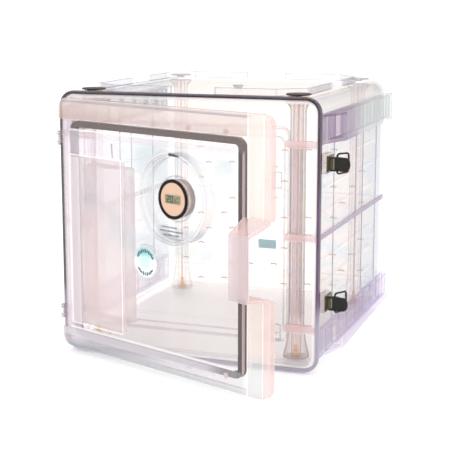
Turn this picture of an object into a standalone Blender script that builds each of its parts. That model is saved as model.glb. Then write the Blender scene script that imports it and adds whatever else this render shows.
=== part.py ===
"""Bench-top desiccator cabinet: a clear moulded tub with a gasketed door, draw latches and a door hygrometer.

Frame: +X to the cabinet's right, +Y towards its back, +Z up. The door stands ajar. The origin is the
centre of the whole object's footprint, on the surface it stands on.
"""
import math

import bmesh
import bpy
from mathutils import Matrix, Vector

MM = 0.001
GAP = 0.3 * MM

# Cabinet, measured from the middle of the front frame's face
CABINET_X = -8.1 * MM
CABINET_Y = -82.86 * MM
FRAME_WIDTH = 310 * MM
FRAME_BOTTOM = 1.5 * MM
FRAME_TOP = 305 * MM
FRAME_THICK = 6 * MM
FRAME_CORNER = 17.5 * MM
OPENING_HALF = 114 * MM
OPENING_LOW = 43.5 * MM
OPENING_HIGH = 262 * MM
OPENING_CORNER = 9 * MM
THROAT_HALF = 117.5 * MM
THROAT_LOW = 34 * MM
THROAT_HIGH = 271 * MM
TUB_HALF = 153 * MM
TUB_LOW = 8.5 * MM
TUB_HIGH = 303 * MM
TUB_BACK = 316 * MM
TUB_WALL = 3.5 * MM
TUB_TOP_RADIUS = 17 * MM
TUB_BOTTOM_RADIUS = 14 * MM
TUB_BACK_RADIUS = 9 * MM
WEB_LEVELS = (50 * MM, 152 * MM, 254 * MM)
WEB_HEIGHT = 6 * MM
WEB_DEPTH = 7 * MM

# Side rails: moulded bands along the upper and lower edges of both sides
RAIL_HEIGHT = 33 * MM
RAIL_UPPER_LOW = 254 * MM
RAIL_LOWER_LOW = 18 * MM
RAIL_FLARE = 168 * MM
RAIL_FLARE_Y = 58 * MM
RAIL_STRAIGHT_Y = 19 * MM
RAIL_BACK = 162 * MM
RAIL_SKIN = 3 * MM
RIB_LOW = 151 * MM
RIB_HEIGHT = 5 * MM
RIB_DEPTH = 2 * MM
STIFFENER_YS = (60 * MM, 160 * MM, 195 * MM, 265 * MM)
STIFFENER_SPANS = ((52 * MM, 150.5 * MM), (156.5 * MM, 253.5 * MM))
STIFFENER_WIDTH = 2 * MM
STIFFENER_PROUD = 1.2 * MM

# Corner posts with their tie rods, pads and feet
POST_X = 122.5 * MM
POST_FRONT_Y = 25 * MM
POST_BACK_Y = 290 * MM
POST_RADIUS = 8.8 * MM
POST_BORE = 5.6 * MM
POST_FLARE = 14.5 * MM
ROD_RADIUS = 1.2 * MM
PAD_RADIUS = 14 * MM
PAD_STEM = 5 * MM
FOOT_RADIUS = 13 * MM

# Stacking fence on the top
FENCE_HALF_X = 127 * MM
FENCE_FRONT_Y = 24 * MM
FENCE_BACK_Y = 288 * MM
FENCE_INNER_X = 26 * MM
FENCE_SIDE_FRONT = 142 * MM
FENCE_SIDE_BACK = 196 * MM
FENCE_CHAMFERS = {"front": (30 * MM, 26 * MM), "back": (27 * MM, 33 * MM)}
FENCE_THICK = 3 * MM
FENCE_TOP = 311 * MM
PORT_X = 6 * MM
PORT_Y = 158 * MM
PORT_STEM = 5 * MM
PORT_HEAD = 7 * MM

# Shelves
SHELF_HALF = 147 * MM
SHELF_FRONT = 38 * MM
SHELF_BACK = 276 * MM
SHELF_LEVELS = {"lower": 42 * MM, "middle": 150 * MM}
SHELF_THICK = 3 * MM
SHELF_LIP = 9 * MM
LEDGE_COUNT = 9
LEDGE_PITCH = 27 * MM
LEDGE_DEPTH = 6 * MM
LEDGE_THICK = 1.8 * MM
LEDGE_FRONT = 44 * MM
LEDGE_BACK = 270 * MM

# Door, drawn closed; the hinge axis then turns it to its rest position
HINGE_X = -152 * MM
HINGE_Y = -6 * MM
DOOR_OPEN = math.radians(22.3)
DOOR_FACE = -12 * MM
DOOR_SKIN = 3 * MM
DOOR_BACK = -4 * MM
DOOR_LEFT = -146 * MM
DOOR_RIGHT = 168.5 * MM
DOOR_LOW = 11 * MM
DOOR_HIGH = 298 * MM
DOOR_CORNER = 12 * MM
DOOR_RIM = 4 * MM
COLUMN_LEFT = 138.5 * MM
NOTCH_LOW = 113 * MM
NOTCH_HIGH = 194 * MM
GRIP_LEFT = 133.5 * MM
GRIP_RIGHT = 157.5 * MM
GRIP_FACE = -35 * MM
GRIP_TOP = 181 * MM
GRIP_WALL = 3 * MM
GASKET_HALF = 127 * MM
GASKET_LOW = 28 * MM
GASKET_HIGH = 269.5 * MM
GASKET_WIDTH = 7 * MM
GASKET_CORNER = 8 * MM
HINGE_LEVELS = {"lower": 48.5 * MM, "upper": 251.5 * MM}
KNUCKLE_RADIUS = 3.7 * MM
KNUCKLE_HALF = 4 * MM
BRACKET_HALF = 7.5 * MM
PIN_RADIUS = 1.5 * MM
PIN_PLAY = 0.1 * MM

# Instruments in the door
DIAL_X = 32.4 * MM
DIAL_Z = 201 * MM
PLUG_RADIUS = 49.8 * MM
PLUG_BODY = 48.3 * MM
PLUG_WALL = 3 * MM
PLUG_WEB = DOOR_FACE + 3.4 * MM
PLUG_END = 5 * MM
METER_RADIUS = 20.3 * MM
CARD_X = -2 * MM
CARD_Z = 129.8 * MM
CARD_RADIUS = 16.3 * MM
CARD_PROUD = 4.8 * MM

POCKET_LEFT = -121 * MM
POCKET_RIGHT = -44 * MM
POCKET_LOW = 41 * MM
POCKET_HIGH = 233 * MM
POCKET_FLANGE = 2.5 * MM
POCKET_BODY = (-112 * MM, -45.5 * MM, 50 * MM, 225 * MM)
POCKET_BACK = 10.3 * MM

# Draw latches on the right side
LATCH_LEVELS = {"upper": 233.2 * MM, "lower": 79.5 * MM}
LEVER_X = 163.2 * MM
LEVER_Y = 16 * MM
LEVER_LENGTH = 21 * MM
LEVER_HALF = 7.6 * MM
LEVER_INSIDE = 6.2 * MM
BAIL_PIVOT = (5.3 * MM, 0.3 * MM)
BAIL_REACH = (8.24 * MM, 17.67 * MM)
BAIL_HALF = 10.8 * MM
BAIL_WIRE = 1.1 * MM
BAIL_BEND = 3.6 * MM
BAIL_END = 6 * MM
PIVOT_PIN = 1.1 * MM
PIVOT_HOLE = 1.22 * MM


# ---------------------------------------------------------------- materials and objects

def principled(name, colour, roughness, metallic=0.0, transmission=0.0):
    material = bpy.data.materials.new(name)
    material.use_nodes = True
    shader = material.node_tree.nodes["Principled BSDF"]
    shader.inputs["Base Color"].default_value = (*colour, 1.0)
    shader.inputs["Roughness"].default_value = roughness
    shader.inputs["Metallic"].default_value = metallic
    shader.inputs["Transmission Weight"].default_value = transmission
    material.diffuse_color = (*colour, 1.0 - 0.7 * transmission)
    return material


LOOKS = {
    "clear": ((0.93, 0.86, 0.89), 0.08, 0.0, 0.9),
    "edge_clear": ((0.78, 0.68, 0.76), 0.10, 0.0, 0.8),
    "gasket": ((0.14, 0.11, 0.10), 0.65, 0.0, 0.0),
    "rubber": ((0.03, 0.03, 0.03), 0.7, 0.0, 0.0),
    "brass": ((0.72, 0.50, 0.24), 0.25, 1.0, 0.0),
    "copper": ((0.80, 0.56, 0.42), 0.3, 1.0, 0.0),
    "olive_metal": ((0.23, 0.21, 0.13), 0.4, 0.8, 0.0),
    "black_metal": ((0.02, 0.02, 0.02), 0.35, 0.6, 0.0),
    "steel": ((0.6, 0.6, 0.6), 0.25, 1.0, 0.0),
    "black_plastic": ((0.015, 0.015, 0.015), 0.3, 0.0, 0.0),
    "display": ((0.33, 0.34, 0.22), 0.2, 0.0, 0.0),
    "card": ((0.35, 0.66, 0.68), 0.6, 0.0, 0.0),
}


def node(name, mesh_data, look, parent, location=(0.0, 0.0, 0.0)):
    """One named sub-part with a material of its own, placed under its parent."""
    mesh = bpy.data.meshes.new(name)
    mesh_data.to_mesh(mesh)
    mesh_data.free()
    mesh.materials.append(principled(name, *LOOKS[look]))
    item = bpy.data.objects.new(name, mesh)
    bpy.context.collection.objects.link(item)
    item.parent = parent
    item.location = location
    return item


def axis_empty(name, location, parent=None, turn=0.0):
    empty = bpy.data.objects.new(name, None)
    bpy.context.collection.objects.link(empty)
    empty.parent = parent
    empty.location = location
    empty.rotation_euler = (0.0, 0.0, turn)
    return empty


def smooth(item, angle=35):
    item.data.shade_smooth()
    item.data.set_sharp_from_angle(angle=math.radians(angle))


def boolean(base, tool, operation):
    """Joins or cuts two bmeshes with an exact Boolean; both are used up."""
    pair = []
    for shape in (base, tool):
        mesh = bpy.data.meshes.new("boolean_part")
        shape.to_mesh(mesh)
        shape.free()
        item = bpy.data.objects.new("boolean_part", mesh)
        bpy.context.collection.objects.link(item)
        pair.append(item)
    modifier = pair[0].modifiers.new("Boolean", "BOOLEAN")
    modifier.operation = operation
    modifier.solver = "EXACT"
    modifier.object = pair[1]
    bpy.context.view_layer.update()
    evaluated = pair[0].evaluated_get(bpy.context.evaluated_depsgraph_get())
    result = bmesh.new()
    result.from_mesh(evaluated.to_mesh())
    evaluated.to_mesh_clear()
    for item in pair:
        mesh = item.data
        bpy.data.objects.remove(item)
        bpy.data.meshes.remove(mesh)
    bmesh.ops.remove_doubles(result, verts=result.verts, dist=1e-6)
    return result


def union(base, *tools):
    for tool in tools:
        base = boolean(base, tool, "UNION")
    return base


def cut(base, *tools):
    for tool in tools:
        base = boolean(base, tool, "DIFFERENCE")
    return base


def together(shapes):
    """Several shapes that don't touch, as one tool; they are used up."""
    result = bmesh.new()
    for shape in shapes:
        mesh = bpy.data.meshes.new("tool_part")
        shape.to_mesh(mesh)
        shape.free()
        result.from_mesh(mesh)
        bpy.data.meshes.remove(mesh)
    return result


# ---------------------------------------------------------------- shapes

def skin(loops, ring=False):
    """A closed solid through equal-length loops of points; a ring joins its last loop to its first."""
    shape = bmesh.new()
    rows = [[shape.verts.new(point) for point in loop] for loop in loops]
    pairs = list(zip(rows, rows[1:] + rows[:1])) if ring else list(zip(rows, rows[1:]))
    for low, high in pairs:
        for i in range(len(low)):
            j = (i + 1) % len(low)
            shape.faces.new((low[i], low[j], high[j], high[i]))
    if not ring:
        shape.faces.new(rows[0])
        shape.faces.new(rows[-1])
    bmesh.ops.recalc_face_normals(shape, faces=shape.faces)
    return shape


def box(low, high):
    corners = ((low[0], low[1]), (high[0], low[1]), (high[0], high[1]), (low[0], high[1]))
    return skin([[(x, y, z) for x, y in corners] for z in (low[2], high[2])])


def prism(outline, low, high, axis="Z"):
    """An outline of two coordinates, extruded along the third."""
    place = {"X": lambda a, b, c: (c, a, b), "Y": lambda a, b, c: (a, c, b), "Z": lambda a, b, c: (a, b, c)}[axis]
    return skin([[place(a, b, level) for a, b in outline] for level in (low, high)])


def rounded(left, right, low, high, low_radius, high_radius=None, steps=5):
    """A rounded rectangle's points; its lower and upper corners may have different radii."""
    high_radius = low_radius if high_radius is None else high_radius
    corners = (
        (right, low, low_radius, -90), (right, high, high_radius, 0),
        (left, high, high_radius, 90), (left, low, low_radius, 180),
    )
    points = []
    for x, z, radius, start in corners:
        centre_x = x - math.copysign(radius, x - (left + right) / 2)
        centre_z = z - math.copysign(radius, z - (low + high) / 2)
        for i in range(steps + 1):
            angle = math.radians(start + 90 * i / steps)
            points.append((centre_x + radius * math.cos(angle), centre_z + radius * math.sin(angle)))
    return points


def turned(profile, sides, axis="Z", centre=(0.0, 0.0, 0.0)):
    """A closed (radius, height) profile turned about an axis; a profile that touches the axis is capped."""
    solid = all(radius > 0 for radius, _ in profile)
    loops = []
    for i in range(sides):
        angle = 2 * math.pi * i / sides
        loops.append([(r * math.cos(angle), r * math.sin(angle), h) for r, h in profile])
    if solid:
        shape = skin(loops, ring=True)
    else:
        shape = bmesh.new()
        rings = [[shape.verts.new(loop[k]) for loop in loops] for k in range(1, len(profile) - 1)]
        for low, high in zip(rings, rings[1:]):
            for i in range(sides):
                j = (i + 1) % sides
                shape.faces.new((low[i], low[j], high[j], high[i]))
        shape.faces.new(rings[0])
        shape.faces.new(rings[-1])
        bmesh.ops.recalc_face_normals(shape, faces=shape.faces)
    if axis == "Y":
        bmesh.ops.rotate(shape, verts=shape.verts, matrix=Matrix.Rotation(math.radians(90), 3, "X"))
    bmesh.ops.translate(shape, verts=shape.verts, vec=centre)
    return shape


def rod(radius, low, high, sides=12, axis="Z", centre=(0.0, 0.0, 0.0)):
    """A plain round bar; along Y, low and high are the two ends' y."""
    if axis == "Y":
        low, high = -high, -low
    return turned([(0, low), (radius, low), (radius, high), (0, high)], sides, axis, centre)


def wire(path, radius, sides=8):
    """A round bar bent along a path of points."""
    loops = []
    points = [Vector(p) for p in path]
    side = Vector((0.0, 1.0, 0.0))
    for i, point in enumerate(points):
        before = points[max(i - 1, 0)]
        after = points[min(i + 1, len(points) - 1)]
        along = (after - before).normalized()
        across = (side - along * side.dot(along)).normalized()
        up = along.cross(across)
        loop = []
        for k in range(sides):
            angle = 2 * math.pi * k / sides
            loop.append(point + radius * (across * math.cos(angle) + up * math.sin(angle)))
        loops.append(loop)
    return skin(loops)


def mirrored(shape):
    bmesh.ops.scale(shape, vec=(-1, 1, 1), verts=shape.verts)
    bmesh.ops.reverse_faces(shape, faces=shape.faces)
    return shape


# ---------------------------------------------------------------- cabinet

def inset_profile(amount):
    return rounded(
        -TUB_HALF + amount, TUB_HALF - amount, TUB_LOW + amount, TUB_HIGH - amount,
        max(TUB_BOTTOM_RADIUS - amount, 2 * MM), max(TUB_TOP_RADIUS - amount, 2 * MM))


def wall_ledges():
    """Ledges on the inside of both side walls that the shelves rest on."""
    inside = TUB_HALF - TUB_WALL
    for side in (-1, 1):
        ends = sorted((side * (inside + 1 * MM), side * (inside - LEDGE_DEPTH)))
        for step in range(LEDGE_COUNT):
            high = SHELF_LEVELS["lower"] - GAP + step * LEDGE_PITCH
            yield box((ends[0], LEDGE_FRONT, high - LEDGE_THICK), (ends[1], LEDGE_BACK, high))


def wall_stiffeners():
    """Upright lines that stand a little proud of both side walls, between the rails."""
    for side in (-1, 1):
        ends = sorted((side * (TUB_HALF - 1 * MM), side * (TUB_HALF + STIFFENER_PROUD)))
        for y in STIFFENER_YS:
            for low, high in STIFFENER_SPANS:
                yield box((ends[0], y - STIFFENER_WIDTH / 2, low), (ends[1], y + STIFFENER_WIDTH / 2, high))


def make_tub(cabinet):
    front = FRAME_THICK + GAP
    stations = [(0.0, front)]
    for degrees in (0, 30, 60, 90):
        angle = math.radians(degrees)
        stations.append((
            TUB_BACK_RADIUS * (1 - math.cos(angle)),
            TUB_BACK - TUB_BACK_RADIUS * (1 - math.sin(angle))))
    outer = [[(x, y, z) for x, z in inset_profile(amount)] for amount, y in stations]
    inner_back = TUB_BACK - TUB_WALL
    inner = [[(x, y, z) for x, z in inset_profile(TUB_WALL + extra)]
             for extra, y in ((0.0, front - 5 * MM), (0.0, inner_back - 5 * MM), (4 * MM, inner_back))]
    shape = cut(skin(outer), skin(inner))
    shape = union(shape, together(wall_ledges()), together(wall_stiffeners()))
    port = rod(PORT_STEM + GAP, TUB_HIGH - 2 * TUB_WALL, TUB_HIGH + TUB_WALL, 16, centre=(PORT_X, PORT_Y, 0))
    smooth(node("cabinet_tub", cut(shape, port), "clear", cabinet))


def frame_plate():
    """The frame's plate with its rounded outer edge."""
    round_edge = 2 * MM
    loops = []
    for inset, y in ((round_edge, 0.0), (0.6 * MM, 0.6 * MM), (0.0, round_edge),
                     (0.0, FRAME_THICK - 0.8 * MM), (0.8 * MM, FRAME_THICK)):
        outline = rounded(
            -FRAME_WIDTH / 2 + inset, FRAME_WIDTH / 2 - inset,
            FRAME_BOTTOM + inset, FRAME_TOP - inset, FRAME_CORNER - inset, steps=6)
        loops.append([(x, y, z) for x, z in outline])
    return skin(loops)


def throat_ring():
    """The rib behind the frame that leads into the tub."""
    depth = FRAME_THICK + 5 * MM
    width = 1 * MM
    loops = []
    for shift, y in ((-width, FRAME_THICK - 1 * MM), (width, FRAME_THICK - 1 * MM), (width, depth), (-width, depth)):
        outline = rounded(-THROAT_HALF - shift, THROAT_HALF + shift, THROAT_LOW - shift,
                          THROAT_HIGH + shift, OPENING_CORNER + shift)
        loops.append([(x, y, z) for x, z in outline])
    return skin(loops, ring=True)


def make_frame(cabinet):
    outline = rounded(-OPENING_HALF, OPENING_HALF, OPENING_LOW, OPENING_HIGH, OPENING_CORNER)
    shape = cut(frame_plate(), prism(outline, -5 * MM, 20 * MM, "Y"))
    shape = union(shape, throat_ring())
    webs = []
    for level in WEB_LEVELS:
        for side in (-1, 1):
            ends = sorted((side * (OPENING_HALF + 1 * MM), side * (TUB_HALF - TUB_WALL - 1 * MM)))
            webs.append(box((ends[0], FRAME_THICK - 1 * MM, level - WEB_HEIGHT / 2),
                            (ends[1], FRAME_THICK + WEB_DEPTH, level + WEB_HEIGHT / 2)))
    shape = union(shape, together(webs))
    smooth(node("front_frame", shape, "edge_clear", cabinet), 40)


def rail_shape(low):
    inner = TUB_HALF + GAP
    front = FRAME_THICK + GAP
    outline = ((inner, front), (FRAME_WIDTH / 2, front), (FRAME_WIDTH / 2, RAIL_STRAIGHT_Y),
               (RAIL_FLARE, RAIL_FLARE_Y), (RAIL_BACK, TUB_BACK), (inner, TUB_BACK))
    shape = prism(outline, low, low + RAIL_HEIGHT)
    # Pockets from the wall side, between ribs, leave a skin outside
    ribs = (62 * MM, 92 * MM, 130 * MM, 172 * MM, 210 * MM, 248 * MM, 282 * MM, TUB_BACK)
    pockets = [box((inner - 1 * MM, start + 2 * MM, low + RAIL_SKIN),
                   (RAIL_BACK - RAIL_SKIN, end - 2 * MM, low + RAIL_HEIGHT - RAIL_SKIN))
               for start, end in zip(ribs, ribs[1:])]
    shape = cut(shape, together(pockets))
    # The front pocket is open on the outside
    window = box((FRAME_WIDTH / 2 + 1 * MM, 25 * MM, low + RAIL_SKIN + 1 * MM),
                 (RAIL_FLARE + 5 * MM, 53 * MM, low + RAIL_HEIGHT - RAIL_SKIN - 1 * MM))
    return cut(shape, window)


def make_rails(cabinet):
    for level, low in (("upper", RAIL_UPPER_LOW), ("lower", RAIL_LOWER_LOW)):
        node(f"side_rail_{level}_right", rail_shape(low), "edge_clear", cabinet)
        node(f"side_rail_{level}_left", mirrored(rail_shape(low)), "edge_clear", cabinet)
    for side, flip in (("right", False), ("left", True)):
        inner = TUB_HALF + GAP
        rib = box((inner, FRAME_THICK + GAP, RIB_LOW), (inner + RIB_DEPTH, TUB_BACK - 12 * MM, RIB_LOW + RIB_HEIGHT))
        node(f"side_rib_{side}", mirrored(rib) if flip else rib, "edge_clear", cabinet)


def post_places():
    for row, y in (("front", POST_FRONT_Y), ("back", POST_BACK_Y)):
        for side, x in (("left", -POST_X), ("right", POST_X)):
            yield f"{row}_{side}", x, y


def make_posts(cabinet):
    floor = TUB_LOW + TUB_WALL + GAP
    roof = TUB_HIGH - TUB_WALL - GAP
    clamp = 2 * MM
    for name, x, y in post_places():
        profile = [
            (POST_BORE, floor), (POST_FLARE, floor), (POST_FLARE, floor + clamp),
            (POST_RADIUS + 2 * MM, floor + 18 * MM), (POST_RADIUS, floor + 36 * MM),
            (POST_RADIUS, roof - 10 * MM), (POST_RADIUS + 1.5 * MM, roof - 6 * MM),
            (POST_FLARE, roof - clamp), (POST_FLARE, roof), (POST_BORE, roof)]
        smooth(node(f"corner_post_{name}", turned(profile, 20, centre=(x, y, 0)), "clear", cabinet), 50)
        stem = [(0, floor), (ROD_RADIUS, floor), (ROD_RADIUS, roof), (0, roof)]
        smooth(node(f"tie_rod_{name}", turned(stem, 10, centre=(x, y, 0)), "brass", cabinet))
        top = TUB_HIGH + GAP
        pad = [(0, top), (PAD_STEM, top), (PAD_STEM, top + 2.1 * MM), (PAD_RADIUS, top + 2.1 * MM),
               (PAD_RADIUS, top + 3 * MM), (PAD_RADIUS - 0.8 * MM, top + 3.6 * MM), (0, top + 3.6 * MM)]
        smooth(node(f"top_pad_{name}", turned(pad, 20, centre=(x, y, 0)), "rubber", cabinet))
        under = TUB_LOW - GAP
        foot = [(0, 0), (FOOT_RADIUS - 1 * MM, 0), (FOOT_RADIUS, 1 * MM), (FOOT_RADIUS, under), (0, under)]
        smooth(node(f"foot_{name}", turned(foot, 20, centre=(x, y, 0)), "rubber", cabinet))


def fence_path(side, row):
    """Centre line of one corner fence: along the side, across the chamfer, along the front or back."""
    edge_y = FENCE_FRONT_Y if row == "front" else FENCE_BACK_Y
    reach = 1 if row == "front" else -1
    side_end = FENCE_SIDE_FRONT if row == "front" else FENCE_SIDE_BACK
    across, along = FENCE_CHAMFERS[row]
    return [
        (side * FENCE_HALF_X, side_end), (side * FENCE_HALF_X, edge_y + reach * along),
        (side * (FENCE_HALF_X - across), edge_y), (side * FENCE_INNER_X, edge_y)]


def strip(path, thick):
    """The outline of a strip of even thickness along a path, mitred at its bends."""
    points = [Vector((*p, 0.0)) for p in path]
    sides = ([], [])
    for i, point in enumerate(points):
        before = (point - points[i - 1]).normalized() if i else (points[1] - point).normalized()
        after = (points[i + 1] - point).normalized() if i < len(points) - 1 else before
        along = (before + after).normalized()
        normal = Vector((-along.y, along.x, 0.0))
        reach = thick / 2 / max(along.dot(before), 0.3)
        sides[0].append(tuple((point + normal * reach).xy))
        sides[1].append(tuple((point - normal * reach).xy))
    return sides[0] + sides[1][::-1]


def make_fences(cabinet):
    for row in ("front", "back"):
        for name, side in (("left", -1), ("right", 1)):
            outline = strip(fence_path(side, row), FENCE_THICK)
            node(f"stack_fence_{row}_{name}", prism(outline, TUB_HIGH + GAP, FENCE_TOP), "clear", cabinet)


def make_port(cabinet):
    """The plug lifts out of its hole along Z."""
    seat = TUB_HIGH + GAP
    profile = [(0, seat - TUB_WALL), (PORT_STEM - 0.4 * MM, seat - TUB_WALL), (PORT_STEM, seat - 2 * MM),
               (PORT_STEM, seat), (PORT_HEAD, seat), (PORT_HEAD, seat + 0.7 * MM),
               (PORT_HEAD - 0.4 * MM, seat + 1 * MM), (0, seat + 1 * MM)]
    slide = axis_empty("port_plug_axis", (PORT_X, PORT_Y, 0), cabinet)
    smooth(node("port_plug", turned(profile, 20), "rubber", slide))


def make_shelves(cabinet):
    for name, low in SHELF_LEVELS.items():
        lip = low + SHELF_LIP
        back = SHELF_BACK
        outline = ((SHELF_FRONT, low), (back, low), (back, lip), (back - SHELF_THICK, lip),
                   (back - SHELF_THICK, low + SHELF_THICK), (SHELF_FRONT, low + SHELF_THICK))
        node(f"shelf_{name}", prism(outline, -SHELF_HALF, SHELF_HALF, "X"), "clear", cabinet)


# ---------------------------------------------------------------- door

def door_box(x0, x1, y0, y1, z0, z1):
    """A box given in the closed cabinet's coordinates, moved to the hinge axis."""
    return box((x0 - HINGE_X, y0 - HINGE_Y, z0), (x1 - HINGE_X, y1 - HINGE_Y, z1))


def door_prism(outline, y0, y1):
    shape = prism(outline, y0, y1, "Y")
    bmesh.ops.translate(shape, verts=shape.verts, vec=(-HINGE_X, -HINGE_Y, 0))
    return shape


def door_turned(profile, sides, x, z):
    """A profile of (radius, closed y) turned about the line through x, z along Y."""
    flipped = [(radius, -(y - HINGE_Y)) for radius, y in profile]
    return turned(flipped, sides, "Y", (x - HINGE_X, 0, z))


def wedge(x_ranges, ys, z_ranges):
    """A tapering block between a back and a front rectangle, in hinge coordinates."""
    loops = []
    for (x0, x1), y, (z0, z1) in zip(x_ranges, ys, z_ranges):
        loops.append([(x - HINGE_X, y - HINGE_Y, z) for x, z in ((x0, z0), (x1, z0), (x1, z1), (x0, z1))])
    return skin(loops)


def make_door_panel(door):
    face_end = DOOR_FACE + DOOR_SKIN
    outline = rounded(DOOR_LEFT, DOOR_RIGHT, DOOR_LOW, DOOR_HIGH, DOOR_CORNER)
    inner = rounded(DOOR_LEFT + DOOR_RIM, COLUMN_LEFT, DOOR_LOW + DOOR_RIM, DOOR_HIGH - DOOR_RIM, 4 * MM)
    shape = cut(door_prism(outline, DOOR_FACE, DOOR_BACK), door_prism(inner, face_end, DOOR_BACK + 5 * MM))
    hole = door_turned([(0, DOOR_BACK), (PLUG_BODY + GAP, DOOR_BACK), (PLUG_BODY + GAP, 2 * DOOR_FACE),
                        (0, 2 * DOOR_FACE)], 40, DIAL_X, DIAL_Z)
    notch = door_box(COLUMN_LEFT, DOOR_RIGHT + 5 * MM, 2 * DOOR_FACE, DOOR_BACK + 5 * MM, NOTCH_LOW, NOTCH_HIGH)
    shape = cut(shape, hole, notch)
    hood = wedge(((GRIP_LEFT, DOOR_RIGHT - 1 * MM), (GRIP_LEFT, GRIP_RIGHT)),
                 (face_end - 1 * MM, GRIP_FACE),
                 ((NOTCH_LOW - 1 * MM, NOTCH_HIGH + 2 * MM), (NOTCH_LOW + 1 * MM, GRIP_TOP)))
    beyond = DOOR_RIGHT + 10 * MM
    hollow = wedge(((COLUMN_LEFT, beyond), (GRIP_LEFT + GRIP_WALL, beyond)),
                   (DOOR_BACK + 5 * MM, GRIP_FACE + GRIP_WALL),
                   ((NOTCH_LOW + 2 * MM, NOTCH_HIGH + 2.5 * MM), (NOTCH_LOW + 4 * MM, GRIP_TOP - GRIP_WALL)))
    shape = cut(union(shape, hood), hollow)
    for level in HINGE_LEVELS.values():
        low, high = level - KNUCKLE_HALF, level + KNUCKLE_HALF
        arm = door_box(HINGE_X - 1 * MM, DOOR_LEFT + 2 * MM, -9.2 * MM, -4.6 * MM, low, high)
        barrel = rod(KNUCKLE_RADIUS, low, high, 16)
        shape = union(shape, union(arm, barrel))
        shape = cut(shape, rod(PIN_RADIUS + PIN_PLAY, low - 5 * MM, high + 5 * MM, 12))
    smooth(node("door_panel", shape, "clear", door), 40)


def make_gasket(door):
    front = DOOR_FACE + DOOR_SKIN + GAP
    back = -GAP
    half = GASKET_WIDTH / 2
    loops = []
    for shift, y in ((-half, front), (half, front), (half, back - 2 * MM), (half - 1.5 * MM, back),
                     (-half + 1.5 * MM, back), (-half, back - 2 * MM)):
        outline = rounded(-GASKET_HALF - shift, GASKET_HALF + shift, GASKET_LOW - shift,
                          GASKET_HIGH + shift, GASKET_CORNER + shift)
        loops.append([(x - HINGE_X, y - HINGE_Y, z) for x, z in outline])
    smooth(node("door_gasket", skin(loops, ring=True), "gasket", door), 50)


def make_pocket(door):
    """A flanged tray behind the door's skin, beside the instruments; it is open at the back."""
    front = DOOR_FACE + DOOR_SKIN + GAP
    wall = 1.4 * MM
    left, right, low, high = POCKET_BODY
    flange = rounded(POCKET_LEFT, POCKET_RIGHT, POCKET_LOW, POCKET_HIGH, 3 * MM, steps=3)
    body = rounded(left, right, low, high, 3 * MM, steps=3)
    inside = rounded(left + wall, right - wall, low + wall, high - wall, 1.6 * MM, steps=3)
    shape = union(door_prism(flange, front, front + POCKET_FLANGE), door_prism(body, front + 1 * MM, POCKET_BACK))
    shape = cut(shape, door_prism(inside, front + wall, POCKET_BACK + 5 * MM))
    node("door_pocket", shape, "clear", door)


def make_instruments(door):
    face = DOOR_FACE
    lip = face - GAP
    inner = PLUG_BODY - PLUG_WALL
    bore = METER_RADIUS + GAP
    web_back = PLUG_WEB + PLUG_WALL
    plug = [(bore, PLUG_WEB), (inner, PLUG_WEB), (inner + 0.6 * MM, lip - 0.9 * MM),
            (PLUG_RADIUS - 0.6 * MM, lip - 0.9 * MM), (PLUG_RADIUS, lip - 0.3 * MM), (PLUG_RADIUS, lip),
            (PLUG_BODY, lip), (PLUG_BODY, PLUG_END), (inner, PLUG_END), (inner, web_back), (bore, web_back)]
    smooth(node("instrument_plug", door_turned(plug, 40, DIAL_X, DIAL_Z), "clear", door))
    barrel = [(0, PLUG_WEB), (METER_RADIUS, PLUG_WEB), (METER_RADIUS, PLUG_WEB + 12.5 * MM),
              (METER_RADIUS - 1.5 * MM, PLUG_WEB + 14 * MM), (0, PLUG_WEB + 14 * MM)]
    smooth(node("hygrometer_barrel", door_turned(barrel, 32, DIAL_X, DIAL_Z), "copper", door))
    seat = PLUG_WEB - GAP
    edge = METER_RADIUS + 1 * MM
    bezel = [(18 * MM, seat), (edge, seat), (edge, seat - 0.8 * MM), (edge - 0.7 * MM, seat - 1.5 * MM),
             (18.7 * MM, seat - 1.5 * MM), (18 * MM, seat - 1 * MM)]
    smooth(node("hygrometer_bezel", door_turned(bezel, 32, DIAL_X, DIAL_Z), "black_plastic", door))
    dial = [(0, seat), (17.7 * MM, seat), (17.7 * MM, seat - 0.5 * MM), (0, seat - 0.5 * MM)]
    smooth(node("hygrometer_face", door_turned(dial, 32, DIAL_X, DIAL_Z), "copper", door))
    screen = seat - 0.5 * MM - GAP
    display = door_box(DIAL_X - 11 * MM, DIAL_X + 11 * MM, screen - 0.4 * MM, screen, DIAL_Z - 4.5 * MM, DIAL_Z + 4.5 * MM)
    node("hygrometer_display", display, "display", door)
    clamp = web_back + GAP
    nut = [(bore, clamp), (METER_RADIUS + 4.5 * MM, clamp), (METER_RADIUS + 4.5 * MM, clamp + 4 * MM), (bore, clamp + 4 * MM)]
    smooth(node("hygrometer_locknut", door_turned(nut, 24, DIAL_X, DIAL_Z), "clear", door))
    front = lip - CARD_PROUD
    card = [(0, front + 0.6 * MM), (CARD_RADIUS, front + 0.6 * MM), (CARD_RADIUS, front), (0, front)]
    smooth(node("humidity_card", door_turned(card, 32, CARD_X, CARD_Z), "card", door))
    ring = [(CARD_RADIUS + GAP, lip), (CARD_RADIUS + 3.6 * MM, lip), (CARD_RADIUS + 3.2 * MM, lip - 1.6 * MM),
            (CARD_RADIUS + 1.6 * MM, front - 0.4 * MM), (CARD_RADIUS + GAP, front - 0.4 * MM)]
    smooth(node("humidity_card_ring", door_turned(ring, 32, CARD_X, CARD_Z), "clear", door))


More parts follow.
